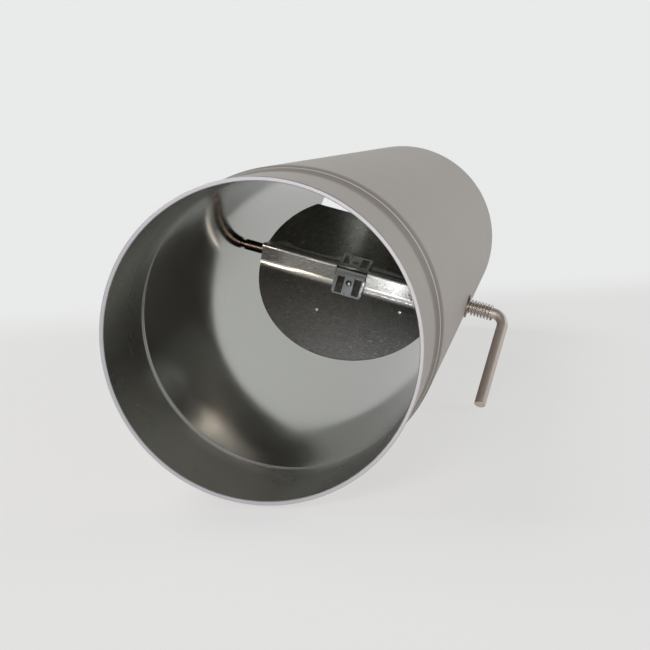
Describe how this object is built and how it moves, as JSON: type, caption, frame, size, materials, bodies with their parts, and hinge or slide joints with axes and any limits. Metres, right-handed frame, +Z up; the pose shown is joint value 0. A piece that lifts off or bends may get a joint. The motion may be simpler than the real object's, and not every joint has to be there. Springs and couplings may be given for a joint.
{
  "type": "stove pipe with damper",
  "caption": "Round sheet steel stove pipe with a narrowed spigot end and a hand-turned damper plate on a cross rod with a bent handle.",
  "frame": {"origin": "centre of the spigot's mouth, on the pipe's axis", "axes": "pipe axis along Y, spigot mouth facing -Y; +Z up with the pipe lying on its side, propped by the handle's tip at +X"},
  "size_m": [0.1792, 0.5, 0.154],
  "materials": {
    "pipe_steel": "satin grey rolled sheet steel",
    "rod_steel": "dark drawn steel rod",
    "plate_steel": "bright pressed sheet steel, finely scratched",
    "clip_steel": "dark bright spring steel strip",
    "washer_steel": "dark zinc plated steel",
    "spring_steel": "drawn spring wire",
    "ring_steel": "black phosphated spring steel"
  },
  "bodies": {
    "pipe": {"pipe": "pipe_steel", "washer": "washer_steel"},
    "damper": {"damper_rod": "rod_steel", "damper_plate": "plate_steel", "rod_clip": "clip_steel", "spring": "spring_steel", "retaining_ring": "ring_steel"}
  },
  "joints": [
    {"name": "damper_turn", "type": "hinge", "parent": "pipe", "child": "damper", "pos_m": [0, 0.25, 0], "axis": [0.9659, 0, -0.2589], "continuous": true}
  ]
}
